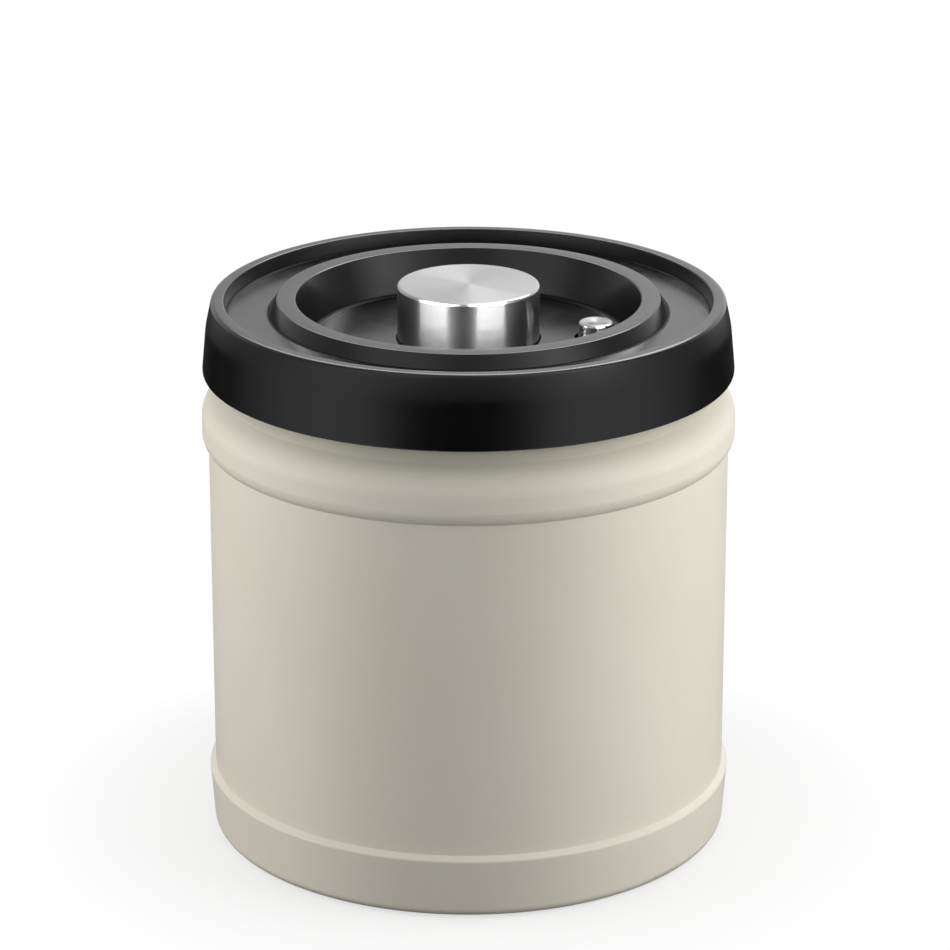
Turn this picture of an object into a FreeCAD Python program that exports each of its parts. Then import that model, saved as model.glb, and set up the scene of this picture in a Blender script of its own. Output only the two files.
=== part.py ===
"""Vacuum seal canister: a glazed ceramic jar and a lift-off lid with a push pump and a release valve.

Millimetres, +Z up, origin at the middle of the jar's foot. The lid is laid out from the pump outwards
and the jar's mouth follows the lid. Heights run up from the foot to the lip and on through the lid.
"""
import FreeCAD, Part
import math
import os
import re
import Sketcher

SIZES = {
    # Pump button, piston and barrel, from the middle outwards
    "button_radius": 14.7,
    "button_gap": 0.35,
    "stop_ledge": 2.2,
    "barrel_wall": 1.8,
    "button_rise": 2.7,
    "button_edge": 0.6,
    "cap_wall": 0.7,
    "plunger_fit": 0.05,
    "plunger_wall": 1.7,
    "plunger_roof": 2.2,
    "stop_gap": 0.2,
    "stroke": 8.0,
    "piston_gap": 0.5,
    "piston_depth": 5.0,
    "piston_web": 3.2,
    "piston_rim": 2.4,
    "seal_depth": 1.3,
    "seal_height": 1.9,
    "seal_inset": 1.4,
    "seal_gap": 0.08,
    "seal_lip": 0.5,
    "vent_slot_width": 2.4,
    "vent_slot_depth": 0.9,
    "vent_slot_start": 10.6,
    # Umbrella valves
    "valve_stem": 1.3,
    "valve_bulb": 1.9,
    "valve_bulb_length": 2.0,
    "valve_disc": 5.2,
    "valve_height": 1.2,
    "valve_rim": 0.4,
    "valve_gap": 0.7,
    "valve_hole": 0.8,
    "valve_hole_ring": 3.5,
    # Screws that hold the piston to the plunger
    "piston_screw_ring": 9.0,
    "piston_screw_shank": 0.85,
    "piston_screw_head": 1.8,
    "piston_screw_head_height": 1.2,
    "piston_screw_length": 6.0,
    "plunger_post": 2.3,
    # Return spring
    "spring_wire": 1.1,
    "spring_foot_radius": 12.6,
    "spring_top_radius": 6.6,
    "spring_clearance": 0.05,
    # Barrel floor, flange and filter
    "barrel_floor": 2.0,
    "barrel_flange": 2.0,
    "barrel_flange_edge": 0.6,
    "barrel_fit": 0.15,
    "barrel_corner": 0.8,
    "barrel_seal_width": 1.5,
    "barrel_seal_height": 1.2,
    "barrel_seal_round": 0.35,
    "filter_ring_radius": 11.8,
    "filter_ring_wall": 1.6,
    "filter_ring_height": 4.0,
    "screen_inset": 0.3,
    "screen_thickness": 0.5,
    "filter_cap_fit": 0.05,
    "filter_cap_wall": 1.2,
    "filter_cap_plate": 1.2,
    "filter_cap_grip": 2.2,
    "filter_cap_edge": 0.8,
    "filter_slot_width": 1.8,
    "filter_slot_start": 3.4,
    "filter_slot_end": 9.6,
    # Release valve
    "release_radius": 3.67,
    "release_gap": 0.8,
    "release_spacing": 2.85,
    "release_rise": 3.3,
    "release_wall": 0.6,
    "release_edge": 0.5,
    "release_dish": 0.25,
    "release_dish_radius": 2.7,
    "release_tuck": 1.0,
    "release_stroke": 2.2,
    "release_spring_room": 2.6,
    "release_flange": 3.3,
    "release_flange_height": 1.0,
    "release_spigot_fit": 0.05,
    "release_stem_radius": 1.5,
    "release_stem_fit": 0.1,
    "release_flute": 0.5,
    "release_neck": 1.2,
    "release_barb": 1.9,
    "release_barb_height": 1.2,
    "release_seal_radius": 4.0,
    "release_seal_height": 2.4,
    "release_seal_taper": 1.2,
    "release_wire": 0.45,
    "release_coil_radius": 2.45,
    # Well, collar, groove and rim of the cover
    "well_margin": 1.95,
    "well_draft": 2.92,
    "well_depth": 8.7,
    "well_back": 0.5,
    "well_corner": 0.6,
    "collar_width": 3.81,
    "collar_draft": 1.73,
    "collar_edge": 0.35,
    "collar_core_wall": 1.5,
    "collar_core_width": 2.0,
    "collar_core_roof": 2.0,
    "groove_width": 8.65,
    "groove_draft": 0.54,
    "groove_depth": 3.1,
    "groove_corner": 0.4,
    "rim_flat": 1.76,
    "rim_break": 2.0,
    "rim_slope": 0.8,
    "rim_drop": 0.12,
    "rim_round": 0.9,
    "skirt_lean": 1.19,
    "skirt_lean_height": 5.5,
    "skirt_bow": 20.0,
    "skirt_draft": 0.91,
    "skirt_wall": 2.7,
    "skirt_edge": 0.5,
    "cover_wall": 2.2,
    # Inner lid, gasket and lid screws
    "boss_height": 1.7,
    "boss_radius": 2.6,
    "boss_inset": 4.6,
    "pilot_skin": 1.0,
    "lid_screw_shank": 1.0,
    "lid_screw_hole": 1.2,
    "lid_screw_head": 2.0,
    "lid_screw_head_height": 1.3,
    "lid_screw_seat": 1.4,
    "lid_screw_seat_gap": 0.15,
    "flange_height": 2.6,
    "flange_gap": 0.4,
    "plug_wall": 2.0,
    "plug_lip": 0.9,
    "plug_lip_height": 1.6,
    "plug_corner": 0.8,
    "web_thickness": 2.2,
    "gasket_flange": 1.5,
    "gasket_edge_gap": 0.3,
    "sleeve_wall": 1.1,
    "fin_depth": 0.9,
    "fin_gap": 0.3,
    "fin_tip": 0.5,
    "fin_slope": 0.9,
    "fin_first": 1.2,
    "fin_pitch": 2.6,
    # Jar, outside
    "skirt_gap": 0.6,
    "neck_show": 3.6,
    "neck_height": 7.6,
    "neck_wall": 5.2,
    "lip_round": 1.0,
    "shoulder_step": 2.28,
    "shoulder_height": 11.95,
    "shoulder_bulge": 1.3,
    "roll_rise": 1.1,
    "roll_face": 7.5,
    "roll_lower_round": 3.5,
    "roll_upper_round": 6.3,
    "neck_corner": 0.3,
    "wall_height": 70.85,
    "foot_height": 13.7,
    "foot_step": 0.9,
    "foot_bulge": 1.17,
    "foot_taper": 0.95,
    "foot_edge": 0.7,
    "foot_round": 2.2,
    # Jar, inside and underneath
    "jar_wall": 4.8,
    "jar_base": 4.0,
    "jar_corner": 8.0,
    "mouth_drop": 1.0,
    "throat_height": 10.0,
    "throat_round": 4.0,
    "foot_ring": 8.5,
    "foot_ring_edge": 0.8,
    "foot_recess": 2.0,
}

# Radii that pieces share, from the pump outwards to the jar
RADII = {
    "hole_radius": "button_radius + button_gap",
    "barrel_bore": "hole_radius + stop_ledge",
    "barrel_radius": "barrel_bore + barrel_wall",
    "release_hole": "release_radius + release_gap",
    "release_x": "barrel_radius + release_spacing + release_hole",
    "well_floor_radius": "release_x + release_hole + well_margin",
    "well_top_radius": "well_floor_radius + well_draft",
    "collar_radius": "well_top_radius + collar_width",
    "groove_inner": "collar_radius + collar_draft",
    "groove_outer": "groove_inner + groove_width",
    "rim_inner": "groove_outer + groove_draft",
    "rim_outer": "rim_inner + rim_flat + rim_slope",
    "skirt_middle": "rim_outer + skirt_lean",
    "skirt_radius": "skirt_middle + skirt_draft",
    "skirt_inner": "skirt_radius - skirt_wall",
    "boss_ring": "skirt_inner - boss_inset",
    "neck_radius": "skirt_inner - skirt_gap",
    "mouth_radius": "neck_radius - neck_wall",
    "sleeve_radius": "mouth_radius - fin_gap - fin_depth",
    "plug_radius": "sleeve_radius - sleeve_wall",
    "jar_radius": "neck_radius + shoulder_step",
    "foot_radius": "jar_radius + foot_bulge",
    "foot_base_radius": "foot_radius - foot_taper",
    "cap_inner": "button_radius - cap_wall",
    "piston_radius": "barrel_bore - piston_gap",
    "seal_floor": "piston_radius - seal_depth",
    "web_hole": "barrel_radius + barrel_fit",
    "barrel_seal_outer": "web_hole + barrel_seal_width",
    "release_bore": "release_radius - release_wall",
}

# Heights that pieces share, from the foot up to the rim and then down into the pump
HEIGHTS = {
    "jar_floor": "foot_recess + jar_base",
    "crease_z": "foot_height + wall_height",
    "neck_base": "crease_z + shoulder_height",
    "lip_z": "neck_base + neck_height",
    "flange_z": "lip_z + gasket_flange",
    "flange_top": "flange_z + flange_height",
    "cover_under": "flange_top + boss_height",
    "groove_z": "cover_under + cover_wall",
    "rim_z": "groove_z + groove_depth",
    "skirt_z": "neck_base + neck_show",
    "well_z": "rim_z - well_depth",
    "well_under": "well_z - cover_wall",
    "release_seat": "well_under - release_tuck",
    "release_flange_under": "release_seat - release_flange_height",
    "web_top": "release_flange_under - release_stroke - release_spring_room",
    "web_under": "web_top - web_thickness",
    "button_z": "rim_z + button_rise",
    "piston_top": "well_under - stop_gap",
    "piston_under": "piston_top - piston_web",
    "piston_foot": "piston_top - piston_depth",
    "chamber_z": "piston_under - valve_bulb_length - stroke - valve_gap - valve_height",
    "chamber_under": "chamber_z - barrel_floor",
    "filter_z": "chamber_under - filter_ring_height",
    "screen_under": "filter_z - screen_thickness",
    "release_top": "well_z + release_rise",
    "release_seal_under": "web_under - release_seal_height",
}

# Counts
LID_SCREWS = 6
PISTON_SCREWS = 3
VENT_SLOTS = 4
VALVE_HOLES = 6
FILTER_SLOTS = 9
RELEASE_FLUTES = 3
RETURN_SPRING_TURNS = 3.75
RELEASE_SPRING_TURNS = 4.0
ARCS_A_TURN = 4
GAP_STEPS_A_TURN = 48

# Rough places where sketch lines start, before their dimensions move them
ROUGH_MIDDLE = FreeCAD.Vector(20, 20)
ROUGH_REACH = 9
ROUGH_SPOT = FreeCAD.Vector(ROUGH_REACH, 0)
ROUGH_SLOT = [FreeCAD.Vector(8, 1), FreeCAD.Vector(12, 1), FreeCAD.Vector(12, -1), FreeCAD.Vector(8, -1)]
UPRIGHT = FreeCAD.Vector(0, 0, 1)

doc = FreeCAD.newDocument("vacuum_canister")


def make_sheet():
    """The driving sizes, one aliased cell each."""
    sheet = doc.addObject("Spreadsheet::Sheet", "Sizes")
    for row, (name, size) in enumerate(SIZES.items(), start=1):
        sheet.set(f"A{row}", name)
        sheet.set(f"B{row}", str(size))
        sheet.setAlias(f"B{row}", name)
    doc.recompute()
    return sheet


def formula(text):
    """A formula in plain names, written with the objects that hold them."""
    def owned(match):
        word = match.group(0)
        owner = "Sizes" if word in SIZES else "Layout"
        return f"{owner}.{word}"
    return re.sub(r"[a-z][a-z_]*", owned, text)


def make_layout():
    """The shared radii and heights, each bound to the sizes it comes from."""
    layout = doc.addObject("App::VarSet", "Layout")
    for group, rules in (("Radii", RADII), ("Heights", HEIGHTS)):
        for name, rule in rules.items():
            layout.addProperty("App::PropertyFloat", name, group)
            layout.setExpression(name, formula(rule))
    doc.recompute()
    return layout


sheet = make_sheet()
layout = make_layout()


def size(name):
    """A size from the sheet, or a shared radius or height, as a number."""
    return getattr(sheet if name in SIZES else layout, name)


def origin_part(body, role):
    """One of a body's own origin planes or axes."""
    return next(part for part in body.Origin.OriginFeatures if part.Role == role)


def new_body(label):
    body = doc.addObject("PartDesign::Body", label)
    body.Label = label
    return body


def bind(sketch, dimensions, start=1.0):
    """Add dimensions to a sketch, each bound to a formula: (kind, where, formula)."""
    made = [Sketcher.Constraint(kind, *where, start) for kind, where, rule in dimensions]
    for number, (kind, where, rule) in zip(sketch.addConstraint(made), dimensions):
        sketch.setExpression(f"Constraints[{number}]", formula(rule))


def chain(sketch, points):
    """A closed chain of lines through rough points, joined end to end."""
    count = len(points)
    sketch.addGeometry([Part.LineSegment(points[i], points[(i + 1) % count]) for i in range(count)])
    sketch.addConstraint([Sketcher.Constraint("Coincident", i, 2, (i + 1) % count, 1) for i in range(count)])


def draw_outline(sketch, corners):
    """A closed outline of (across, up) or (across, up, rounding size) corners."""
    count = len(corners)
    rough_ring = Part.Circle(ROUGH_MIDDLE, UPRIGHT, ROUGH_REACH)
    chain(sketch, [rough_ring.value(2 * math.pi * i / count) for i in range(count)])
    on_axis = [Sketcher.Constraint("PointOnObject", i, 1, -2) for i in range(count) if corners[i][0] == "0"]
    on_ground = [Sketcher.Constraint("PointOnObject", i, 1, -1) for i in range(count) if corners[i][1] == "0"]
    sketch.addConstraint(on_axis + on_ground)
    across = [("DistanceX", (-1, 1, i, 1), corners[i][0]) for i in range(count) if corners[i][0] != "0"]
    heights = [("DistanceY", (-1, 1, i, 1), corners[i][1]) for i in range(count) if corners[i][1] != "0"]
    bind(sketch, across + heights)
    doc.recompute()
    for i, corner in enumerate(corners):
        if len(corner) == 3:
            radius = size(corner[2])
            sketch.fillet((i - 1) % count, 2, radius, True, True)
            arc = max(n for n, piece in enumerate(sketch.Geometry) if isinstance(piece, Part.ArcOfCircle))
            bind(sketch, [("Radius", (arc,), corner[2])], radius)
    doc.recompute()


def new_sketch(body, name, role):
    sketch = body.newObject("Sketcher::SketchObject", name)
    sketch.AttachmentSupport = (origin_part(body, role), [""])
    sketch.MapMode = "FlatFace"
    return sketch


def turned(label, corners):
    """A body turned about Z from its half section."""
    body = new_body(label)
    sketch = new_sketch(body, label + "_section", "XZ_Plane")
    draw_outline(sketch, corners)
    revolution = body.newObject("PartDesign::Revolution", label + "_turned")
    revolution.Profile = sketch
    revolution.ReferenceAxis = (sketch, ["V_Axis"])
    revolution.Angle = 360
    doc.recompute()
    return body


def repeat(body, feature, copies):
    """Copy a feature round the body's Z axis."""
    pattern = body.newObject("PartDesign::PolarPattern", feature.Name + "_ring")
    pattern.Originals = [feature]
    pattern.Axis = (origin_part(body, "Z_Axis"), [""])
    pattern.Angle = 360
    pattern.Occurrences = copies
    body.Tip = pattern
    doc.recompute()


def raised_sketch(body, name, height):
    """A sketch on a level plane at a height."""
    sketch = new_sketch(body, name, "XY_Plane")
    sketch.setExpression("AttachmentOffset.Base.z", formula(height))
    return sketch


def upward(body, kind, sketch, length):
    """Pad or pocket a level sketch upwards, and check that it changed the solid the right way."""
    before = body.Shape.Volume
    feature = body.newObject(kind, sketch.Name + "_feature")
    feature.Profile = sketch
    feature.setExpression("Length", formula(length))
    feature.Reversed = kind == "PartDesign::Pocket"
    doc.recompute()
    gain = body.Shape.Volume - before
    if (gain > 0) != (kind == "PartDesign::Pad") or abs(gain) < 1e-6:
        raise RuntimeError(f"{sketch.Name} changed {body.Label} by {gain:.4f} mm3")
    return feature


def round_feature(body, kind, name, across, radius, height, length, copies=1):
    """A round pad or pocket whose centre lies on X, from a height upwards, copied round Z."""
    sketch = raised_sketch(body, name, height)
    circle = sketch.addGeometry(Part.Circle(ROUGH_SPOT, UPRIGHT, 1.0))
    sketch.addConstraint(Sketcher.Constraint("PointOnObject", circle, 3, -1))
    bind(sketch, [("DistanceX", (-1, 1, circle, 3), across), ("Radius", (circle,), radius)])
    feature = upward(body, kind, sketch, length)
    if copies > 1:
        repeat(body, feature, copies)


def slot_feature(body, name, start, end, width, height, length, copies):
    """A straight-sided radial slot cut from a height upwards, copied round Z."""
    sketch = raised_sketch(body, name, height)
    chain(sketch, ROUGH_SLOT)
    sketch.addConstraint([
        Sketcher.Constraint("Horizontal", 0),
        Sketcher.Constraint("Vertical", 1),
        Sketcher.Constraint("Horizontal", 2),
        Sketcher.Constraint("Symmetric", 0, 1, 3, 1, -1),
    ])
    bind(sketch, [
        ("DistanceX", (-1, 1, 0, 1), start),
        ("DistanceX", (-1, 1, 0, 2), end),
        ("DistanceY", (3, 1, 0, 1), width),
    ])
    feature = upward(body, "PartDesign::Pocket", sketch, length)
    repeat(body, feature, copies)


def make_jar():
    turned("jar_body", [
        ("foot_base_radius - foot_ring", "0", "foot_ring_edge"),
        ("foot_base_radius", "0", "foot_round"),
        ("foot_radius", "foot_height - foot_step", "foot_edge"),
        ("jar_radius", "foot_height"),
        ("jar_radius", "crease_z"),
        ("jar_radius + shoulder_bulge", "crease_z + roll_rise", "roll_lower_round"),
        ("jar_radius + shoulder_bulge", "crease_z + roll_rise + roll_face", "roll_upper_round"),
        ("neck_radius", "neck_base", "neck_corner"),
        ("neck_radius", "lip_z", "lip_round"),
        ("mouth_radius", "lip_z", "lip_round"),
        ("mouth_radius", "neck_base - mouth_drop", "throat_round"),
        ("jar_radius - jar_wall", "neck_base - mouth_drop - throat_height", "throat_round"),
        ("jar_radius - jar_wall", "jar_floor", "jar_corner"),
        ("0", "jar_floor"),
        ("0", "foot_recess"),
        ("foot_base_radius - foot_ring", "foot_recess", "foot_ring_edge"),
    ])


def make_lid_cover():
    body = turned("lid_cover", [
        ("skirt_inner", "skirt_z"),
        ("skirt_radius", "skirt_z", "skirt_edge"),
        ("skirt_middle", "rim_z - rim_drop - skirt_lean_height", "skirt_bow"),
        ("rim_outer", "rim_z - rim_drop", "rim_round"),
        ("rim_inner + rim_flat", "rim_z", "rim_break"),
        ("rim_inner", "rim_z", "collar_edge"),
        ("groove_outer", "groove_z", "groove_corner"),
        ("groove_inner", "groove_z", "groove_corner"),
        ("collar_radius", "rim_z", "collar_edge"),
        ("well_top_radius", "rim_z", "collar_edge"),
        ("well_floor_radius", "well_z", "well_corner"),
        ("hole_radius", "well_z"),
        ("hole_radius", "well_under"),
        ("well_top_radius + well_back", "well_under"),
        ("well_top_radius + well_back", "cover_under"),
        ("well_top_radius + collar_core_wall", "cover_under"),
        ("well_top_radius + collar_core_wall", "rim_z - collar_core_roof"),
        ("well_top_radius + collar_core_wall + collar_core_width", "rim_z - collar_core_roof"),
        ("well_top_radius + collar_core_wall + collar_core_width", "cover_under"),
        ("skirt_inner", "cover_under"),
    ])
    round_feature(body, "PartDesign::Pad", "screw_boss", "boss_ring", "boss_radius",
                  "flange_top", "boss_height", LID_SCREWS)
    round_feature(body, "PartDesign::Pocket", "screw_pilot", "boss_ring", "lid_screw_shank",
                  "flange_top", "boss_height + cover_wall - pilot_skin", LID_SCREWS)
    round_feature(body, "PartDesign::Pocket", "release_opening", "release_x", "release_hole",
                  "well_under", "cover_wall")


def make_inner_lid():
    body = turned("inner_lid", [
        ("web_hole", "web_under"),
        ("plug_radius + plug_lip", "web_under", "plug_corner"),
        ("plug_radius + plug_lip", "web_under + plug_lip_height"),
        ("plug_radius", "web_under + plug_lip_height"),
        ("plug_radius", "flange_z"),
        ("skirt_inner - flange_gap", "flange_z"),
        ("skirt_inner - flange_gap", "flange_top"),
        ("plug_radius - plug_wall", "flange_top"),
        ("plug_radius - plug_wall", "web_top", "plug_corner"),
        ("barrel_seal_outer", "web_top"),
        ("barrel_seal_outer", "web_top - barrel_seal_height"),
        ("web_hole", "web_top - barrel_seal_height"),
    ])
    round_feature(body, "PartDesign::Pocket", "flange_hole", "boss_ring", "lid_screw_hole",
                  "flange_z", "flange_height", LID_SCREWS)
    round_feature(body, "PartDesign::Pocket", "flange_seat", "boss_ring",
                  "lid_screw_head + lid_screw_seat_gap", "flange_z", "lid_screw_seat", LID_SCREWS)
    round_feature(body, "PartDesign::Pocket", "release_guide", "release_x",
                  "release_stem_radius + release_stem_fit", "web_under", "web_thickness")


def fin(base):
    """One flexible fin of the gasket, sloped below and flat above."""
    tip = "sleeve_radius + fin_depth"
    return [
        ("sleeve_radius", base),
        (tip, f"{base} + fin_slope"),
        (tip, f"{base} + fin_slope + fin_tip"),
        ("sleeve_radius", f"{base} + fin_slope + fin_tip"),
    ]


def make_lid_gasket():
    foot = "web_under + plug_lip_height"
    turned("lid_gasket", [
        ("plug_radius", foot),
        ("sleeve_radius", foot),
        *fin(f"{foot} + fin_first"),
        *fin(f"{foot} + fin_first + fin_pitch"),
        ("sleeve_radius", "lip_z"),
        ("neck_radius - gasket_edge_gap", "lip_z"),
        ("neck_radius - gasket_edge_gap", "flange_z"),
        ("plug_radius", "flange_z"),
    ])


def make_pump_barrel():
    body = turned("pump_barrel", [
        ("valve_stem", "chamber_under"),
        ("filter_ring_radius - filter_ring_wall", "chamber_under"),
        ("filter_ring_radius - filter_ring_wall", "filter_z"),
        ("filter_ring_radius", "filter_z"),
        ("filter_ring_radius", "chamber_under"),
        ("barrel_radius", "chamber_under", "barrel_corner"),
        ("barrel_radius", "web_top"),
        ("barrel_seal_outer + barrel_flange_edge", "web_top"),
        ("barrel_seal_outer + barrel_flange_edge", "web_top + barrel_flange"),
        ("barrel_radius", "web_top + barrel_flange"),
        ("barrel_radius", "well_under"),
        ("barrel_bore", "well_under"),
        ("barrel_bore", "chamber_z", "barrel_corner"),
        ("valve_stem", "chamber_z"),
    ])
    round_feature(body, "PartDesign::Pocket", "intake_hole", "valve_hole_ring", "valve_hole",
                  "chamber_under", "barrel_floor", VALVE_HOLES)


def make_barrel_seal():
    inner, outer = "barrel_radius", "barrel_seal_outer"
    low, high = "web_top - barrel_seal_height", "web_top"
    edge = "barrel_seal_round"
    turned("barrel_seal", [(inner, low, edge), (outer, low, edge), (outer, high, edge), (inner, high, edge)])


def make_valve(label, seat, under):
    """An umbrella valve: a thin disc on its seat, a stem through it and a bulb that holds it below."""
    turned(label, [
        ("0", f"{under} - valve_bulb_length"),
        ("valve_stem", f"{under} - valve_bulb_length"),
        ("valve_bulb", f"{under} - valve_rim"),
        ("valve_bulb", under),
        ("valve_stem", under),
        ("valve_stem", seat),
        ("valve_disc", seat),
        ("valve_disc", f"{seat} + valve_rim"),
        ("valve_stem", f"{seat} + valve_height"),
        ("0", f"{seat} + valve_height"),
    ])


def make_filter():
    turned("filter_screen", [
        ("0", "screen_under"),
        ("filter_ring_radius - screen_inset", "screen_under"),
        ("filter_ring_radius - screen_inset", "filter_z"),
        ("0", "filter_z"),
    ])
    body = turned("filter_cap", [
        ("0", "screen_under - filter_cap_plate"),
        ("filter_ring_radius + filter_cap_fit + filter_cap_wall", "screen_under - filter_cap_plate",
         "filter_cap_edge"),
        ("filter_ring_radius + filter_cap_fit + filter_cap_wall", "filter_z + filter_cap_grip"),
        ("filter_ring_radius + filter_cap_fit", "filter_z + filter_cap_grip"),
        ("filter_ring_radius + filter_cap_fit", "screen_under"),
        ("0", "screen_under"),
    ])
    slot_feature(body, "filter_slot", "filter_slot_start", "filter_slot_end", "filter_slot_width",
                 "screen_under - filter_cap_plate", "filter_cap_plate", FILTER_SLOTS)


def make_pump_cap():
    turned("pump_cap", [
        ("0", "button_z - cap_wall"),
        ("cap_inner", "button_z - cap_wall"),
        ("cap_inner", "piston_top"),
        ("button_radius", "piston_top"),
        ("button_radius", "button_z", "button_edge"),
        ("0", "button_z"),
    ])


def make_pump_plunger():
    roof = "button_z - cap_wall - plunger_roof"
    body = turned("pump_plunger", [
        ("0", roof),
        ("cap_inner - plunger_fit - plunger_wall", roof),
        ("cap_inner - plunger_fit - plunger_wall", "piston_top"),
        ("cap_inner - plunger_fit", "piston_top"),
        ("cap_inner - plunger_fit", "button_z - cap_wall"),
        ("0", "button_z - cap_wall"),
    ])
    round_feature(body, "PartDesign::Pad", "screw_post", "piston_screw_ring", "plunger_post",
                  "piston_top", f"{roof} - piston_top", PISTON_SCREWS)
    round_feature(body, "PartDesign::Pocket", "post_pilot", "piston_screw_ring", "piston_screw_shank",
                  "piston_top", f"{roof} - piston_top", PISTON_SCREWS)


def make_pump_piston():
    groove = "piston_foot + seal_inset"
    body = turned("pump_piston", [
        ("valve_stem", "piston_under"),
        ("piston_radius - piston_rim", "piston_under"),
        ("piston_radius - piston_rim", "piston_foot"),
        ("piston_radius", "piston_foot"),
        ("piston_radius", groove),
        ("seal_floor", groove),
        ("seal_floor", f"{groove} + seal_height"),
        ("piston_radius", f"{groove} + seal_height"),
        ("piston_radius", "piston_top"),
        ("valve_stem", "piston_top"),
    ])
    round_feature(body, "PartDesign::Pocket", "exhaust_hole", "valve_hole_ring", "valve_hole",
                  "piston_under", "piston_web", VALVE_HOLES)
    round_feature(body, "PartDesign::Pocket", "piston_screw_bore", "piston_screw_ring", "piston_screw_shank",
                  "piston_under", "piston_web", PISTON_SCREWS)
    round_feature(body, "PartDesign::Pocket", "piston_screw_seat", "piston_screw_ring", "piston_screw_head",
                  "piston_under", "piston_screw_head_height", PISTON_SCREWS)
    slot_feature(body, "vent_slot", "vent_slot_start", "piston_radius + vent_slot_width", "vent_slot_width",
                 "piston_top - vent_slot_depth", "vent_slot_depth", VENT_SLOTS)


def make_piston_seal():
    groove = "piston_foot + seal_inset"
    lip = "barrel_bore - seal_gap"
    turned("piston_seal", [
        ("seal_floor", groove),
        (f"{lip} - seal_lip", groove),
        (lip, f"{groove} + seal_lip"),
        (lip, f"{groove} + seal_height - seal_lip"),
        (f"{lip} - seal_lip", f"{groove} + seal_height"),
        ("seal_floor", f"{groove} + seal_height"),
    ])


def make_release_cap():
    turned("release_cap", [
        ("0", "release_top - release_wall - release_dish"),
        ("release_bore", "release_top - release_wall - release_dish"),
        ("release_bore", "release_seat"),
        ("release_radius", "release_seat"),
        ("release_radius", "release_top", "release_edge"),
        ("release_dish_radius", "release_top"),
        ("0", "release_top - release_dish"),
    ])


def make_release_stem():
    spigot = "release_bore - release_spigot_fit"
    barb_top = "release_seal_under"
    body = turned("release_stem", [
        ("0", f"{barb_top} - release_barb_height"),
        ("release_neck", f"{barb_top} - release_barb_height"),
        ("release_barb", barb_top),
        ("release_neck", barb_top),
        ("release_neck", "web_under"),
        ("release_stem_radius", "web_under"),
        ("release_stem_radius", "release_flange_under"),
        ("release_flange", "release_flange_under"),
        ("release_flange", "release_seat"),
        (spigot, "release_seat"),
        (spigot, "release_top - release_wall - release_dish"),
        ("0", "release_top - release_wall - release_dish"),
    ])
    round_feature(body, "PartDesign::Pocket", "release_flute_cut", "release_stem_radius", "release_flute",
                  "web_under", "release_flange_under - web_under", RELEASE_FLUTES)


def make_release_seal():
    turned("release_seal", [
        ("release_neck", "release_seal_under"),
        ("release_seal_radius - release_seal_taper", "release_seal_under"),
        ("release_seal_radius", "release_seal_under + release_seal_taper"),
        ("release_seal_radius", "web_under"),
        ("release_neck", "web_under"),
    ])


def place_release(label):
    """Stand a release piece, turned about its own axis, over the hole in the well."""
    doc.getObject(label).setExpression("Placement.Base.x", formula("release_x"))
    doc.recompute()


def make_screw(label, shank, head, head_height, length, height):
    """One pan-head screw, point up, with its head at a height."""
    return turned(label, [
        ("0", height),
        (head, height),
        (head, f"{height} + {head_height}"),
        (shank, f"{height} + {head_height}"),
        (shank, f"{height} + {length}"),
        ("0", f"{height} + {length}"),
    ])


def ring_of(label, one, ring, copies):
    """Identical separate solids spaced round Z, as one piece."""
    solids = []
    for i in range(copies):
        solid = one.Shape.copy()
        solid.translate(FreeCAD.Vector(size(ring), 0, 0))
        solid.rotate(FreeCAD.Vector(), UPRIGHT, 360 * i / copies)
        solids.append(solid)
    group = doc.addObject("Part::Feature", label)
    group.Label = label
    group.Shape = Part.makeCompound(solids)
    group.Placement = FreeCAD.Placement()


def make_screws():
    lid_screw = make_screw("lid_screw", "lid_screw_shank", "lid_screw_head", "lid_screw_head_height",
                           "lid_screw_seat - lid_screw_head_height + flange_height + boss_height",
                           "flange_z + lid_screw_seat - lid_screw_head_height")
    ring_of("lid_screws", lid_screw, "boss_ring", LID_SCREWS)
    piston_screw = make_screw("piston_screw", "piston_screw_shank", "piston_screw_head",
                              "piston_screw_head_height", "piston_screw_length", "piston_under")
    ring_of("piston_screws", piston_screw, "piston_screw_ring", PISTON_SCREWS)


def coil_point(part, turns, foot, top, low, high):
    """A point of a coil at a share of its length, and the direction it runs in there."""
    sweep = 2 * math.pi * turns
    angle = sweep * part
    radius = foot + (top - foot) * part
    grow = top - foot
    point = FreeCAD.Vector(radius * math.cos(angle), radius * math.sin(angle), low + (high - low) * part)
    along = FreeCAD.Vector(
        grow * math.cos(angle) - sweep * radius * math.sin(angle),
        grow * math.sin(angle) + sweep * radius * math.cos(angle),
        high - low)
    return point, along.normalize()


def arc_between(start, heading, end):
    """The circular arc that leaves a point in a direction and ends at another."""
    chord = end - start
    half = chord.Length / 2
    bulge = heading - chord * (heading.dot(chord) / chord.Length ** 2)
    rise = half * math.tan(heading.getAngle(chord) / 2)
    middle = start + chord / 2 + bulge.normalize() * rise
    return Part.Arc(start, middle, end).toShape()


def biarc(start, heading, end, arrival):
    """Two arcs that meet smoothly between two points with given directions."""
    chord = end - start
    both = heading + arrival
    square = 2 * (1 - heading.dot(arrival))
    across = chord.dot(both)
    reach = (math.sqrt(across ** 2 + square * chord.Length ** 2) - across) / square
    meet = (start + heading * reach + end - arrival * reach) / 2
    tangent = (end - arrival * reach - start - heading * reach).normalize()
    return [arc_between(start, heading, meet), arc_between(meet, tangent, end)]


def coil_gap(turns, foot, top, low, high, wire):
    """The least gap between turns, measured on points along the coil."""
    steps = int(turns * GAP_STEPS_A_TURN)
    points = [coil_point(i / steps, turns, foot, top, low, high)[0] for i in range(steps + 1)]
    near = GAP_STEPS_A_TURN // 2
    spans = [(a - b).Length for i, a in enumerate(points) for b in points[i + near:]]
    return min(spans) - wire


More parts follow.
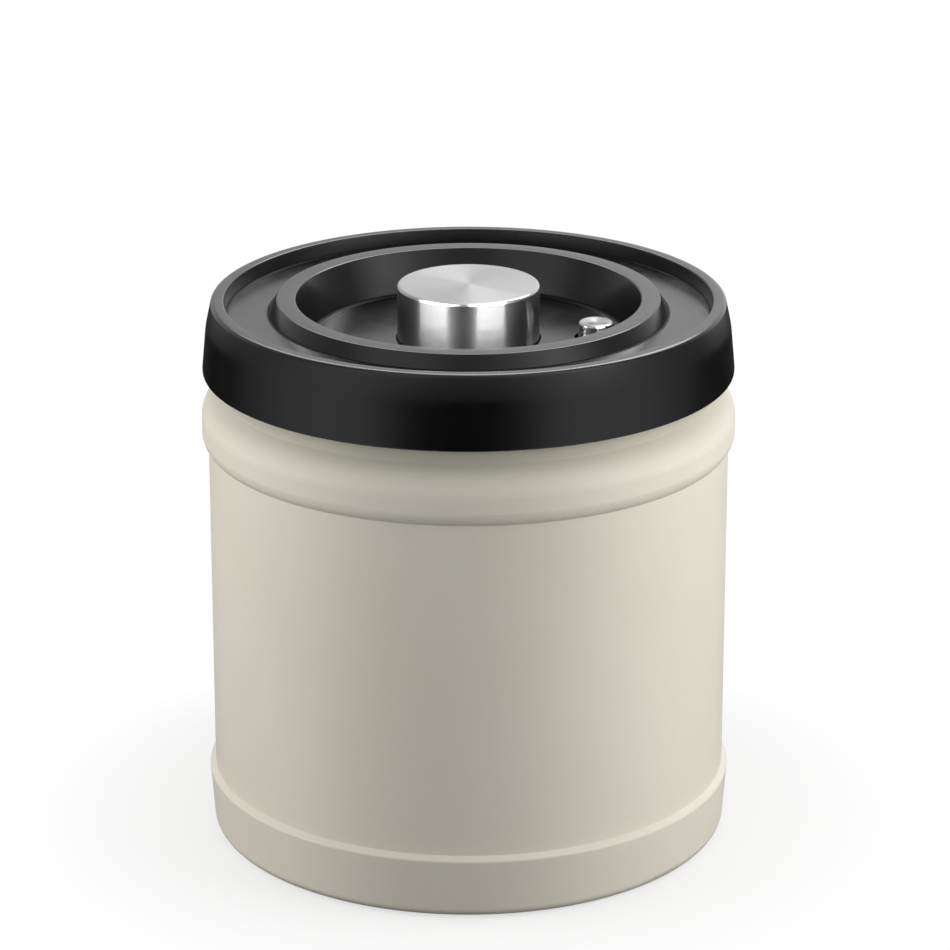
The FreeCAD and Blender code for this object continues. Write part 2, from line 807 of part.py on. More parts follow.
def make_coil(label, turns, foot, top, low, high, wire):
    """A spring as one unbroken round wire."""
    steps = round(turns * ARCS_A_TURN)
    stations = [coil_point(i / steps, turns, foot, top, low, high) for i in range(steps + 1)]
    edges = []
    for (start, heading), (end, arrival) in zip(stations, stations[1:]):
        edges += biarc(start, heading, end, arrival)
    section = Part.Wire(Part.makeCircle(wire / 2, *stations[0]))
    pipe = Part.BRepOffsetAPI.MakePipeShell(Part.Wire(edges))
    pipe.add(section)
    pipe.build()
    pipe.makeSolid()
    print(f"{label}: least gap between turns {coil_gap(turns, foot, top, low, high, wire):.2f} mm")
    spring = doc.addObject("Part::Feature", label)
    spring.Label = label
    spring.Shape = pipe.shape()
    return spring


def make_springs():
    wire = size("spring_wire")
    seat = wire / 2 + size("spring_clearance")
    make_coil("return_spring", RETURN_SPRING_TURNS, size("spring_foot_radius"), size("spring_top_radius"),
              size("chamber_z") + seat, size("piston_under") - seat, wire)
    wire = size("release_wire")
    seat = wire / 2 + size("spring_clearance")
    radius = size("release_coil_radius")
    spring = make_coil("release_spring", RELEASE_SPRING_TURNS, radius, radius,
                       size("web_top") + seat, size("release_flange_under") - seat, wire)
    spring.Placement = FreeCAD.Placement(FreeCAD.Vector(size("release_x"), 0, 0), FreeCAD.Rotation())


NODES = [
    "jar_body", "lid_cover", "inner_lid", "lid_gasket", "lid_screws", "pump_barrel", "barrel_seal",
    "intake_valve", "filter_screen", "filter_cap", "pump_cap", "pump_plunger", "pump_piston",
    "piston_seal", "piston_screws", "exhaust_valve", "return_spring", "release_cap", "release_stem",
    "release_spring", "release_seal",
]


def check_model():
    """Stop on any failed object or unsound solid."""
    doc.recompute()
    for thing in doc.Objects:
        if "Invalid" in thing.State or "Error" in thing.State:
            raise RuntimeError(f"{thing.Label}: {thing.State}")
    for label in NODES:
        shape = doc.getObject(label).Shape
        if shape.isNull() or not shape.isValid() or not shape.Solids:
            raise RuntimeError(f"{label} has no sound solid")


def write_parts():
    os.makedirs("parts", exist_ok=True)
    for label in NODES:
        part = doc.getObject(label)
        part.Shape.exportStep(f"parts/{part.Label}.step")


make_jar()
make_lid_cover()
make_inner_lid()
make_lid_gasket()
make_pump_barrel()
make_barrel_seal()
make_valve("intake_valve", "chamber_z", "chamber_under")
make_valve("exhaust_valve", "piston_top", "piston_under")
make_filter()
make_pump_cap()
make_pump_plunger()
make_pump_piston()
make_piston_seal()
make_release_cap()
make_release_stem()
make_release_seal()
for piece in ("release_cap", "release_stem", "release_seal"):
    place_release(piece)
make_screws()
make_springs()
check_model()
write_parts()
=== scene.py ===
"""Looks of the vacuum seal canister: finishes, turned skins, springs, studio light and camera.

Metres, +Z up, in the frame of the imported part. The camera looks along +Y, with +X to the right.
"""
import math

import bmesh
import bpy
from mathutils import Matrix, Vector


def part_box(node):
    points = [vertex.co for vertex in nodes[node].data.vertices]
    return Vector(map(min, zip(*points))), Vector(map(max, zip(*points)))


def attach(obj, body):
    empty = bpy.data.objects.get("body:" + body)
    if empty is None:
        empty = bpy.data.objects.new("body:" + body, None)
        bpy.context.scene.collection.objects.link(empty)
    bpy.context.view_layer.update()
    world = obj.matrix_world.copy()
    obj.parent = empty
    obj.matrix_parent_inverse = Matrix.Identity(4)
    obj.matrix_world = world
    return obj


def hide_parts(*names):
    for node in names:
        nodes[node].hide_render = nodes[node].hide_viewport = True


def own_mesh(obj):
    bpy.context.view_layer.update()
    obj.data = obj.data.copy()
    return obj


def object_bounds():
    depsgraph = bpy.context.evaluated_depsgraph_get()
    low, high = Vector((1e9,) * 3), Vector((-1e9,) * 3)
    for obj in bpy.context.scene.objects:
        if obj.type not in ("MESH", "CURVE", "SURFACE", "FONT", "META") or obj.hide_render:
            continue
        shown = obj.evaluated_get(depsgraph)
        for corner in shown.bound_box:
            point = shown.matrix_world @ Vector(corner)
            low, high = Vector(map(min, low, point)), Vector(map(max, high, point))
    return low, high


MM = 0.001
FULL_TURN = 2 * math.pi
UP = Vector((0, 0, 1))
WHITE = (1, 1, 1, 1)

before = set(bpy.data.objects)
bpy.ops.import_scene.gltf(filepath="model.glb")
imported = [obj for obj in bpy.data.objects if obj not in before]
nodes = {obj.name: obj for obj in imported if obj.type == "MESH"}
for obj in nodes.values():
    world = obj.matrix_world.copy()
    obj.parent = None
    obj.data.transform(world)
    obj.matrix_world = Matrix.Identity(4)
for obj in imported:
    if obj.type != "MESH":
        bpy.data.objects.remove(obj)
cad_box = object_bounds()
scene = bpy.context.scene


# Short ways to build node trees

# Numbers of the colour sockets on a Mix node
FIRST_COLOUR = 6
SECOND_COLOUR = 7
MIXED_COLOUR = 2


def feed(tree, node, inputs):
    """Set a node's sockets to plain values, or join them to other nodes' outputs."""
    for socket, value in inputs.items():
        if isinstance(value, bpy.types.NodeSocket):
            tree.links.new(value, node.inputs[socket])
        else:
            node.inputs[socket].default_value = value


def add(tree, kind, inputs=None, **settings):
    """Add a shader node. Inputs maps a socket's name or number to a value or to another node's output."""
    made = tree.nodes.new("ShaderNode" + kind)
    for name, value in settings.items():
        setattr(made, name, value)
    feed(tree, made, inputs or {})
    return made


def combine(tree, operation, first, second):
    """The result of a Math node's operation on two values."""
    return add(tree, "Math", {0: first, 1: second}, operation=operation).outputs[0]


def blend_colours(tree, share, first, second):
    """A colour between two, by a share from 0 to 1."""
    inputs = {0: share, FIRST_COLOUR: first, SECOND_COLOUR: second}
    return add(tree, "Mix", inputs, data_type="RGBA").outputs[MIXED_COLOUR]


def spread(tree, value, low, high, start=0.3, end=0.7):
    """From low to high, while a value goes from start to end."""
    inputs = {"Value": value, "From Min": start, "From Max": end, "To Min": low, "To Max": high}
    return add(tree, "MapRange", inputs).outputs["Result"]


def smooth(tree, value, start, end):
    """From 0 to 1, while a value goes from start to end, easing in and out."""
    inputs = {"Value": value, "From Min": start, "From Max": end}
    return add(tree, "MapRange", inputs, interpolation_type="SMOOTHSTEP").outputs["Result"]


def place(tree):
    """The surface's own coordinates, in metres."""
    return add(tree, "TexCoord").outputs["Object"]


def noise(tree, size, detail=2.0, stretch=(1.0, 1.0, 1.0)):
    """Noise whose grains are about a size across, in metres, and longer along a stretched axis."""
    grain = add(tree, "Mapping", {"Vector": place(tree), "Scale": [1.0 / (size * s) for s in stretch]})
    return add(tree, "TexNoise", {"Vector": grain.outputs[0], "Scale": 1.0, "Detail": detail}).outputs["Fac"]


def mottle(tree, size, low=0.0, high=1.0, detail=4.0):
    """A value that wanders between low and high, in patches about a size across."""
    return spread(tree, noise(tree, size, detail), low, high)


def bumps(tree, height, depth):
    """A surface normal that follows a height from 0 to 1, over a depth in metres."""
    return add(tree, "Bump", {"Height": height, "Distance": depth, "Strength": 1.0}).outputs["Normal"]


def new_material(name):
    """A material with a plain Principled surface, and its node tree."""
    material = bpy.data.materials.new(name)
    material.use_nodes = True
    return material, material.node_tree


def coat(tree, surface):
    """Set the sockets of a material's Principled surface."""
    feed(tree, tree.nodes["Principled BSDF"], surface)


def dress(material, *names):
    """Give CAD nodes a material."""
    for name in names:
        mesh = nodes[name].data
        mesh.materials.clear()
        mesh.materials.append(material)


# Finishes

GLAZE_DARK = (0.627, 0.598, 0.508, 1)
GLAZE_LIGHT = (0.656, 0.629, 0.542, 1)
CLOUD_SIZE = 45 * MM
FLECK_TONE = (0.44, 0.40, 0.33, 1)
FLECK_SIZE = 0.9 * MM
FLECK_SHARE = 0.05
# Painted shade: a darker, greyer glaze tone at the neck standing in for the lid's shadow, and the heights
# over which it comes in
NECK_SHADE_TONE = (0.445, 0.426, 0.356, 1)
NECK_SHADE_FADE = (91.5 * MM, 96.5 * MM)
CLAY_TONE = (0.52, 0.43, 0.33, 1)
CLAY_FADE = (0.15 * MM, 0.45 * MM)
GLAZE_GLOSS = (0.42, 0.50)
GLAZE_PATCH = 8 * MM
PEEL_SIZE = 2.6 * MM
PEEL_DEPTH = 0.03 * MM


def glaze():
    """Satin glaze in warm grey, clouded, with painted shade at the neck under the lid, and a bare clay foot.
    """
    material, tree = new_material("satin_glaze")
    height = add(tree, "SeparateXYZ", {"Vector": place(tree)}).outputs["Z"]
    # Painted shade: the glaze colour darkens towards the neck, where the lid shades the shoulder
    neck_shade_share = spread(tree, height, 0.0, 1.0, *NECK_SHADE_FADE)
    bare = spread(tree, height, 1.0, 0.0, *CLAY_FADE)
    clouded = blend_colours(tree, mottle(tree, CLOUD_SIZE, detail=3.0), GLAZE_DARK, GLAZE_LIGHT)
    flecked = blend_colours(tree, mottle(tree, FLECK_SIZE, 0.0, FLECK_SHARE, 3.0), clouded, FLECK_TONE)
    with_neck_shade = blend_colours(tree, neck_shade_share, flecked, NECK_SHADE_TONE)
    colour = blend_colours(tree, bare, with_neck_shade, CLAY_TONE)
    roughness = combine(tree, "MAXIMUM", mottle(tree, GLAZE_PATCH, *GLAZE_GLOSS, 3.0), bare)
    peel = bumps(tree, noise(tree, PEEL_SIZE), PEEL_DEPTH)
    coat(tree, {"Base Color": colour, "Roughness": roughness, "Normal": peel, "Specular IOR Level": 0.45})
    return material


TONE_PATCH = 12 * MM
GLOSS_PATCH = 5 * MM


def moulded(name, dark, light, gloss, grain_size, grain_depth):
    """Moulded plastic or rubber: a slightly uneven tone, uneven gloss and a fine grain."""
    material, tree = new_material(name)
    tone = blend_colours(tree, mottle(tree, TONE_PATCH), dark, light)
    roughness = mottle(tree, GLOSS_PATCH, *gloss)
    grain = bumps(tree, noise(tree, grain_size), grain_depth)
    coat(tree, {"Base Color": tone, "Roughness": roughness, "Normal": grain, "IOR": 1.5})
    return material


def black_plastic():
    """The cover's black, with a satin sheen."""
    return moulded("black_plastic", dark=(0.0018, 0.0018, 0.0019, 1), light=(0.0026, 0.0026, 0.0027, 1),
                   gloss=(0.19, 0.25), grain_size=0.28 * MM, grain_depth=0.002 * MM)


def dull_corner():
    """The black plastic where the mould leaves its hollow corners dull."""
    material = moulded("dull_corner", dark=(0.0022, 0.0022, 0.0023, 1), light=(0.0034, 0.0034, 0.0035, 1),
                       gloss=(0.50, 0.60), grain_size=0.28 * MM, grain_depth=0.002 * MM)
    coat(material.node_tree, {"Specular IOR Level": 0.15})
    return material


def dark_plastic():
    """Dark grey plastic under the cover."""
    return moulded("dark_plastic", dark=(0.020, 0.021, 0.023, 1), light=(0.028, 0.029, 0.031, 1),
                   gloss=(0.36, 0.46), grain_size=0.35 * MM, grain_depth=0.006 * MM)


def pale_plastic():
    """Uncoloured plastic of the pump and the release valve."""
    return moulded("pale_plastic", dark=(0.62, 0.61, 0.57, 1), light=(0.68, 0.67, 0.63, 1),
                   gloss=(0.34, 0.44), grain_size=0.4 * MM, grain_depth=0.005 * MM)


def silicone():
    """Cloudy rubber of the seals and valves, which lets some light in."""
    material = moulded("silicone", dark=(0.50, 0.50, 0.48, 1), light=(0.58, 0.58, 0.56, 1),
                       gloss=(0.48, 0.60), grain_size=0.5 * MM, grain_depth=0.006 * MM)
    coat(material.node_tree, {"Subsurface Weight": 0.25, "Subsurface Scale": 1.5 * MM})
    return material


CHROME_TONE = (0.50, 0.50, 0.505, 1)
SIDE_ROUGHNESS = 0.21
TOP_ROUGHNESS = 0.20
EDGE_SLOPES = (0.3, 0.9)
WEAR_SIZE = 0.5 * MM
WEAR = 0.006


def turned_chrome():
    """Plated metal, turned fine, which draws reflections out along the side and in fans on the top."""
    material, tree = new_material("turned_chrome")
    tangent = add(tree, "Tangent", direction_type="RADIAL", axis="Z").outputs[0]
    normal = add(tree, "NewGeometry").outputs["Normal"]
    facing_up = add(tree, "SeparateXYZ", {"Vector": normal}).outputs["Z"]
    gloss = spread(tree, facing_up, SIDE_ROUGHNESS, TOP_ROUGHNESS, *EDGE_SLOPES)
    roughness = combine(tree, "ADD", gloss, mottle(tree, WEAR_SIZE, -WEAR, WEAR))
    coat(tree, {"Base Color": CHROME_TONE, "Metallic": 1.0, "Roughness": roughness,
                "Anisotropic": 0.95, "Anisotropic Rotation": 0.25, "Tangent": tangent})
    return material


STEEL_DARK = (0.50, 0.50, 0.51, 1)
STEEL_LIGHT = (0.66, 0.66, 0.67, 1)
STEEL_GLOSS = (0.24, 0.40)
STEEL_PATCH = 1.2 * MM
LINE_SIZE = 0.12 * MM
LINE_STRETCH = (1, 1, 10)
LINE_DEPTH = 0.004 * MM


def drawn_steel():
    """Drawn wire and turned screws: bright steel with fine lines and dull patches."""
    material, tree = new_material("drawn_steel")
    lines = noise(tree, LINE_SIZE, 4.0, LINE_STRETCH)
    tone = blend_colours(tree, spread(tree, lines, 0.0, 1.0), STEEL_DARK, STEEL_LIGHT)
    roughness = mottle(tree, STEEL_PATCH, *STEEL_GLOSS)
    scratches = bumps(tree, lines, LINE_DEPTH)
    coat(tree, {"Base Color": tone, "Metallic": 1.0, "Roughness": roughness, "Normal": scratches})
    return material


CLOTH_GAP = (0.10, 0.10, 0.10, 1)
CLOTH_THREAD = (0.55, 0.55, 0.54, 1)
CLOTH_SCALE = 320.0
CLOTH_DEPTH = 0.1 * MM


def woven_screen():
    """Fine filter cloth, drawn as a weave of crossing threads."""
    material, tree = new_material("filter_cloth")
    threads = []
    for direction in ("X", "Y"):
        wave = add(tree, "TexWave", {"Vector": place(tree), "Scale": CLOTH_SCALE}, bands_direction=direction)
        threads.append(wave.outputs["Fac"])
    weave = combine(tree, "MAXIMUM", *threads)
    tone = blend_colours(tree, weave, CLOTH_GAP, CLOTH_THREAD)
    coat(tree, {"Base Color": tone, "Roughness": 0.6, "Normal": bumps(tree, weave, CLOTH_DEPTH)})
    return material


# Meshes of rings

def join_rings(shape, rings):
    """Smooth faces between rings of points that follow each other."""
    for first, second in zip(rings, rings[1:]):
        for j in range(len(first)):
            k = (j + 1) % len(first)
            shape.faces.new((first[j], first[k], second[k], second[j])).smooth = True


def make_piece(name, shape, material, body):
    """A finished mesh as a piece of a body."""
    mesh = bpy.data.meshes.new(name)
    shape.to_mesh(mesh)
    shape.free()
    mesh.materials.append(material)
    piece = bpy.data.objects.new(name, mesh)
    scene.collection.objects.link(piece)
    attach(piece, body)
    return piece


# Turned skins, in millimetres: (radius, height, rounding) from the lower edge to the middle

RIM_HEIGHT = 115.2
GROOVE_HEIGHT = 112.1
WELL_HEIGHT = 106.5
SKIRT = [(55.01, 101.0, 0), (54.19, 109.58, 20.0)]
RIM = [(53.0, 115.08, 0.9), (52.2, RIM_HEIGHT, 2.0), (50.44, RIM_HEIGHT, 0.35)]
GROOVE = [(49.9, GROOVE_HEIGHT, 0.5), (41.25, GROOVE_HEIGHT, 0.65)]
COLLAR = [(39.52, RIM_HEIGHT, 0.35), (35.71, RIM_HEIGHT, 0.35)]
WELL = [(32.79, WELL_HEIGHT, 0.75), (31.5, WELL_HEIGHT, 0)]
COVER_LINE = SKIRT + RIM + GROOVE + COLLAR + WELL
PUMP_HEIGHT = 117.9
PUMP_RADIUS = 14.7
PUMP_FACE = 14.0
RELEASE_HEIGHT = 109.8
RELEASE_RADIUS = 3.67
RELEASE_FACE = 3.1
PINHOLE = 0.01
PUMP_SIDE = [(PUMP_RADIUS, 104.3, 0), (PUMP_RADIUS, PUMP_HEIGHT, 0.6), (PUMP_FACE, PUMP_HEIGHT, 0)]
PUMP_TOP = [(PUMP_FACE, PUMP_HEIGHT, 0), (PINHOLE, PUMP_HEIGHT, 0)]
RELEASE_SIDE = [(RELEASE_RADIUS, 103.5, 0), (RELEASE_RADIUS, RELEASE_HEIGHT, 0.5),
                (RELEASE_FACE, RELEASE_HEIGHT, 0)]
RELEASE_TOP = [(RELEASE_FACE, RELEASE_HEIGHT, 0), (2.7, RELEASE_HEIGHT, 0.1), (PINHOLE, 109.55, 0)]
LID_AXIS = 0.0
RELEASE_AXIS = 26.37
COVER_LIFT = 0.045
CAP_LIFT = 0.02
SKIN_STEPS = 256
ARC_STEPS = 8


def corner_arc(before, corner, after):
    """The points that round a corner of a line, and whether the corner is hollow."""
    spot = Vector(corner[:2])
    rounding = corner[2]
    back = (Vector(before[:2]) - spot).normalized()
    ahead = (Vector(after[:2]) - spot).normalized()
    half = back.angle(ahead) / 2
    reach = rounding / math.tan(half)
    centre = spot + (back + ahead).normalized() * rounding / math.sin(half)
    start = (spot + back * reach - centre).normalized()
    end = (spot + ahead * reach - centre).normalized()
    points = [centre + start.slerp(end, i / ARC_STEPS) * rounding for i in range(ARC_STEPS + 1)]
    return points, back.cross(ahead) > 0


def rounded(corners):
    """The points of a line with rounded corners, and whether the stretch after each lies in a hollow."""
    line = [Vector(corners[0][:2])]
    hollow = [False]
    for before, corner, after in zip(corners, corners[1:], corners[2:]):
        arc, is_hollow = corner_arc(before, corner, after)
        line += arc
        hollow += [is_hollow] * ARC_STEPS + [False]
    line.append(Vector(corners[-1][:2]))
    return line, hollow


def make_skin(name, corners, lift, axis, body, material):
    """A finely turned skin on a CAD node, so that its rounded edges catch the light evenly."""
    line, hollow = rounded(corners)
    turns = [FULL_TURN * j / SKIN_STEPS for j in range(SKIN_STEPS)]
    shape = bmesh.new()
    rings = []
    for i, point in enumerate(line):
        along = (line[min(i + 1, len(line) - 1)] - line[max(i - 1, 0)]).normalized()
        radius, height = point + Vector((along.y, -along.x)) * lift
        spots = [Vector((axis + radius * math.cos(a), radius * math.sin(a), height)) * MM for a in turns]
        rings.append([shape.verts.new(spot) for spot in spots])
    join_rings(shape, rings)
    shape.faces.ensure_lookup_table()
    for i, face in enumerate(shape.faces):
        face.material_index = int(hollow[i // SKIN_STEPS])
    return make_piece(name, shape, material, body)


# Springs

RETURN_SPRING = {"wire": 1.1 * MM, "foot": 12.6 * MM, "top": 6.6 * MM, "turns": 3.75}
RELEASE_SPRING = {"wire": 0.45 * MM, "foot": 2.45 * MM, "top": 2.45 * MM, "turns": 4.0}
STEPS_A_TURN = 48
WIRE_SIDES = 14
END_FLATNESS = 0.75


def coil_centre(share, turns, foot, top, low, high):
    """A point on a coil's centre line. The coil climbs slowly at both ends, as a closed end does."""
    angle = FULL_TURN * turns * share
    radius = foot + (top - foot) * share
    rise = share - END_FLATNESS * math.sin(FULL_TURN * share) / FULL_TURN
    return Vector((radius * math.cos(angle), radius * math.sin(angle), low + (high - low) * rise))


def wire_ring(shape, centre, along, wire):
    """A ring of points round a wire's centre, square to its direction."""
    side = along.cross(UP).normalized()
    lift = side.cross(along)
    ring = []
    for j in range(WIRE_SIDES):
        angle = FULL_TURN * j / WIRE_SIDES
        offset = (side * math.cos(angle) + lift * math.sin(angle)) * wire / 2
        ring.append(shape.verts.new(centre + offset))
    return ring


def make_spring(node, joint, steel, wire, foot, top, turns):
    """A wire spring in the place of its CAD node, fixed to the lid. The joint argument is not used."""
    low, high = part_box(node)
    # A straight spring stands in the middle of its node, and a conical one on the lid's axis
    middle = Vector(((low.x + high.x) / 2, (low.y + high.y) / 2, 0)) if foot == top else Vector()
    ends = (low.z + wire / 2, high.z - wire / 2)
    steps = round(turns * STEPS_A_TURN)
    points = [middle + coil_centre(i / steps, turns, foot, top, *ends) for i in range(steps + 1)]
    shape = bmesh.new()
    rings = []
    for i, point in enumerate(points):
        along = (points[min(i + 1, steps)] - points[max(i - 1, 0)]).normalized()
        rings.append(wire_ring(shape, point, along, wire))
    join_rings(shape, rings)
    shape.faces.new(rings[0][::-1])
    shape.faces.new(rings[-1])
    bmesh.ops.recalc_face_normals(shape, faces=shape.faces)
    spring = make_piece(node + "_wire", shape, steel, "lid")
    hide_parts(node)
    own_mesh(spring)


# The studio round the object

# Walls seen by reflections, as (degrees from the camera's side, brightness), from the back by the left
LOW_WALLS = [(-180, 0.05), (-140, 0.01), (-118, 0.05), (-100, 0.28), (-80, 0.58), (-60, 0.74),
             (-45, 0.70), (-35, 0.40), (-25, 0.08), (-15, 0.02), (0, 0.01), (12, 0.02),
             (25, 0.20), (35, 0.60), (45, 0.76), (60, 0.74), (80, 0.60), (100, 0.28),
             (118, 0.05), (140, 0.01), (180, 0.05)]
HIGH_WALLS = [(-180, 0.9), (-160, 0.65), (-140, 0.7), (-115, 0.5), (-85, 0.3), (-60, 0.9),
              (-30, 0.8), (-10, 0.45), (10, 0.45), (35, 0.9), (60, 1.8), (72, 1.2),
              (90, 0.3), (115, 0.4), (135, 1.0), (160, 1.2), (180, 1.1)]
# Heights between which the low walls give way to the high ones, and how far that sinks at the back
WALL_SEAM = (0.05, 0.20)
BACK_DROP = 0.30
BACK_FADE = (-0.15, 0.95)
# The overhead box: its brightness, and its sides and soft edge as slopes away from straight up
TOP_LIGHT = (5.5, 5.5, 5.5, 1)
TOP_ACROSS = (0.0, 1.05, 0.12)
TOP_BEHIND = (0.55, 1.25, 0.15)
LEAST_HEIGHT = 0.1
# Even light on pale surfaces, from the horizon to the ceiling
HORIZON_FILL = 1.64
CEILING_FILL = 0.03
FILL_FADE = (0.1, 0.6)


def studio_ramp(tree, azimuth, stops):
    """Brightness by direction round the object."""
    ramp = add(tree, "ValToRGB", {"Fac": azimuth})
    elements = ramp.color_ramp.elements
    while len(elements) < len(stops):
        elements.new(0.5)
    for element, (degrees, light) in zip(elements, stops):
        element.position = degrees / 360 + 0.5
        element.color = (light, light, light, 1)
    return ramp.outputs["Color"]


def walls(tree, direction):
    """The walls' brightness in a direction, low walls under high ones."""
    front = combine(tree, "MULTIPLY", direction.outputs["Y"], -1.0)
    turn = combine(tree, "ARCTAN2", direction.outputs["X"], front)
    azimuth = spread(tree, turn, 0.0, 1.0, -math.pi, math.pi)
    drop = spread(tree, direction.outputs["Y"], 0.0, BACK_DROP, *BACK_FADE)
    height = combine(tree, "ADD", direction.outputs["Z"], drop)
    low = studio_ramp(tree, azimuth, LOW_WALLS)
    high = studio_ramp(tree, azimuth, HIGH_WALLS)
    return blend_colours(tree, smooth(tree, height, *WALL_SEAM), low, high)


def slab(tree, value, low, high, edge):
    """1 between two values and 0 outside them, with soft edges."""
    above = smooth(tree, value, low - edge, low + edge)
    below = smooth(tree, value, high + edge, high - edge)
    return combine(tree, "MULTIPLY", above, below)


def top_light(tree, direction):
    """Where the overhead box is: a rectangle on the ceiling, to the right and behind the object."""
    height = combine(tree, "MAXIMUM", direction.outputs["Z"], LEAST_HEIGHT)
    across = combine(tree, "DIVIDE", direction.outputs["X"], height)
    behind = combine(tree, "DIVIDE", direction.outputs["Y"], height)
    return combine(tree, "MULTIPLY", slab(tree, across, *TOP_ACROSS), slab(tree, behind, *TOP_BEHIND))


def make_world():
    """A white studio, seen by reflections as soft walls round the object and a bright box overhead."""
    world = bpy.data.worlds.new("studio")
    world.use_nodes = True
    tree = world.node_tree
    view = add(tree, "TexCoord").outputs["Generated"]
    direction = add(tree, "SeparateXYZ", {"Vector": view})
    studio = blend_colours(tree, top_light(tree, direction), walls(tree, direction), TOP_LIGHT)
    ray = add(tree, "LightPath")
    colour = blend_colours(tree, ray.outputs["Is Glossy Ray"], WHITE, studio)
    fill = spread(tree, direction.outputs["Z"], HORIZON_FILL - 1, CEILING_FILL - 1, *FILL_FADE)
    # Diffuse rays get the fill, and all others a strength of 1
    parts = {0: ray.outputs["Is Diffuse Ray"], 1: fill, 2: 1.0}
    strength = add(tree, "Math", parts, operation="MULTIPLY_ADD").outputs[0]
    feed(tree, tree.nodes["Background"], {"Color": colour, "Strength": strength})
    scene.world = world


FLOOR_SIZE = 8.0
FLOOR_DROP = 0.05 * MM
FLOOR_TONE = (0.9, 0.9, 0.9, 1)
BOUNCE_TONE = (0.05, 0.05, 0.05, 1)
LEAST_WHITE = 0.6
WHITE_FADE = (55 * MM, 95 * MM)


def make_floor():
    """A pale floor that keeps the contact shadow and fades to white. It bounces little light."""
    bpy.ops.mesh.primitive_plane_add(size=FLOOR_SIZE, location=(0, 0, cad_box[0].z - FLOOR_DROP))
    floor = bpy.context.object
    floor.name = "floor"
    material, tree = new_material("pale_floor")
    seen = add(tree, "LightPath").outputs["Is Camera Ray"]
    coat(tree, {"Base Color": blend_colours(tree, seen, BOUNCE_TONE, FLOOR_TONE), "Roughness": 0.9})
    distance = add(tree, "VectorMath", {0: place(tree)}, operation="LENGTH").outputs["Value"]
    fade = spread(tree, distance, LEAST_WHITE, 1.0, *WHITE_FADE)
    share = combine(tree, "MULTIPLY", fade, seen)
    lit = tree.nodes["Principled BSDF"].outputs[0]
    white = add(tree, "Emission", {"Color": WHITE, "Strength": 1.0}).outputs[0]
    mixed = add(tree, "MixShader", {0: share, 1: lit, 2: white}).outputs[0]
    feed(tree, tree.nodes["Material Output"], {"Surface": mixed})
    floor.data.materials.append(material)
    floor.visible_glossy = False


# Lamps: name, degrees from the camera's side, degrees up, distance, power in watts, width and height

SIDE_BOXES = [("left_box", -84, 22, 0.32, 0.80, 0.3, 0.3),
              ("right_box", 77, 22, 0.32, 1.0, 0.3, 0.3)]
LEFT_STRIP = ("left_strip", -58, 36, 0.6, 18.4, 0.56, 0.58)
RIGHT_STRIP = ("right_strip", 36, 36, 0.6, 16.8, 0.51, 0.58)
LID_BOXES = [("lid_left_box", -160, 48, 0.7, 1.6, 0.42, 0.30),
             ("lid_right_box", 150, 48, 0.7, 1.3, 0.42, 0.30)]
LAMP_AIM = (cad_box[0] + cad_box[1]) / 2


def make_lamp(name, azimuth, elevation, distance, power, width, height):
    """A soft box that faces the middle of the object and doesn't show in reflections."""
    light = bpy.data.lights.new(name, "AREA")
    light.shape = "RECTANGLE"
    light.size = width
    light.size_y = height
    light.energy = power
    lamp = bpy.data.objects.new(name, light)
    scene.collection.objects.link(lamp)
    turn = math.radians(azimuth)
    rise = math.radians(elevation)
    away = Vector((math.sin(turn) * math.cos(rise), -math.cos(turn) * math.cos(rise), math.sin(rise)))
    lamp.location = LAMP_AIM + away * distance
    lamp.rotation_mode = "QUATERNION"
    lamp.rotation_quaternion = (-away).to_track_quat("-Z", "Y")
    lamp.visible_glossy = False
    return lamp


def light_only(lamp, *objects):
    """Show a lamp in the reflections of some objects, and light nothing else with it."""
    lit = bpy.data.collections.new(lamp.name + "_lit")
    for item in objects:
        lit.objects.link(item)
    lamp.light_linking.receiver_collection = lit
    lamp.visible_glossy = True


# The camera

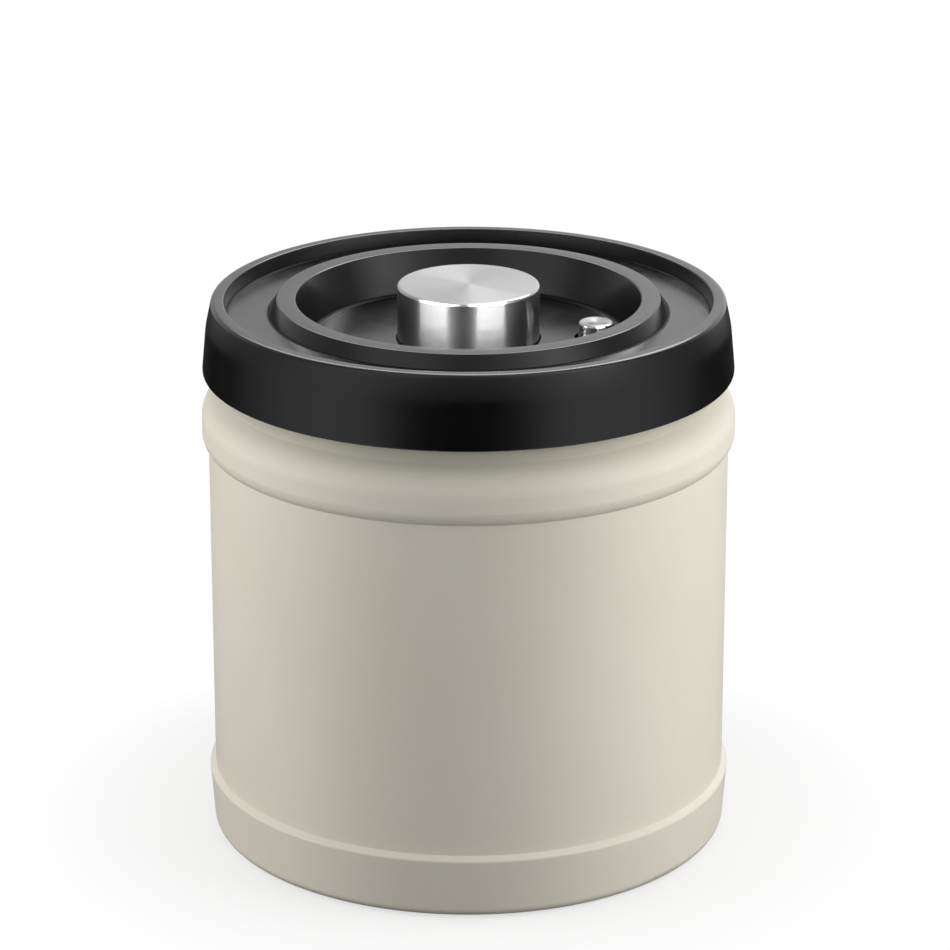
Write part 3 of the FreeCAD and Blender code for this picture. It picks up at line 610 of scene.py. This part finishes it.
CAMERA_PLACE = Vector((1.35, -803.9, 358.8)) * MM
CAMERA_PITCH = 19.37
CAMERA_LENS = 154.3
CAMERA_SENSOR = 36.0
CAMERA_REACH = 20.0


def make_camera():
    """The camera at the photograph's place, angle and field of view."""
    data = bpy.data.cameras.new("camera")
    data.sensor_width = CAMERA_SENSOR
    data.lens = CAMERA_LENS
    data.clip_end = CAMERA_REACH
    camera = bpy.data.objects.new("camera", data)
    camera.location = CAMERA_PLACE
    camera.rotation_euler = (math.radians(90 - CAMERA_PITCH), 0, 0)
    scene.collection.objects.link(camera)
    scene.camera = camera


# The jar and the lid

dress(glaze(), "jar_body")
plastic = black_plastic()
dress(plastic, "lid_cover")
cover_skin = make_skin("cover_skin", COVER_LINE, COVER_LIFT, LID_AXIS, "lid", plastic)
cover_skin.data.materials.append(dull_corner())

# The buttons

chrome = turned_chrome()
dress(chrome, "pump_cap", "release_cap")
pump_side = make_skin("pump_side", PUMP_SIDE, CAP_LIFT, LID_AXIS, "pump", chrome)
release_side = make_skin("release_side", RELEASE_SIDE, CAP_LIFT, RELEASE_AXIS, "release", chrome)
make_skin("pump_top", PUMP_TOP, CAP_LIFT, LID_AXIS, "pump", chrome)
make_skin("release_top", RELEASE_TOP, CAP_LIFT, RELEASE_AXIS, "release", chrome)

# The parts under the cover

dress(dark_plastic(), "inner_lid", "filter_cap")
dress(pale_plastic(), "pump_barrel", "pump_plunger", "pump_piston", "release_stem")
dress(silicone(), "lid_gasket", "barrel_seal", "intake_valve", "exhaust_valve", "piston_seal", "release_seal")
dress(woven_screen(), "filter_screen")
steel = drawn_steel()
dress(steel, "lid_screws", "piston_screws")
make_spring("return_spring", "pump_press", steel, **RETURN_SPRING)
make_spring("release_spring", "release_press", steel, **RELEASE_SPRING)

# Light and camera

make_world()
make_floor()
for box in SIDE_BOXES:
    make_lamp(*box)
light_only(make_lamp(*LEFT_STRIP), pump_side)
light_only(make_lamp(*RIGHT_STRIP), pump_side, release_side)
for box in LID_BOXES:
    light_only(make_lamp(*box), nodes["lid_cover"], cover_skin)
make_camera()
scene.view_settings.view_transform = "Standard"
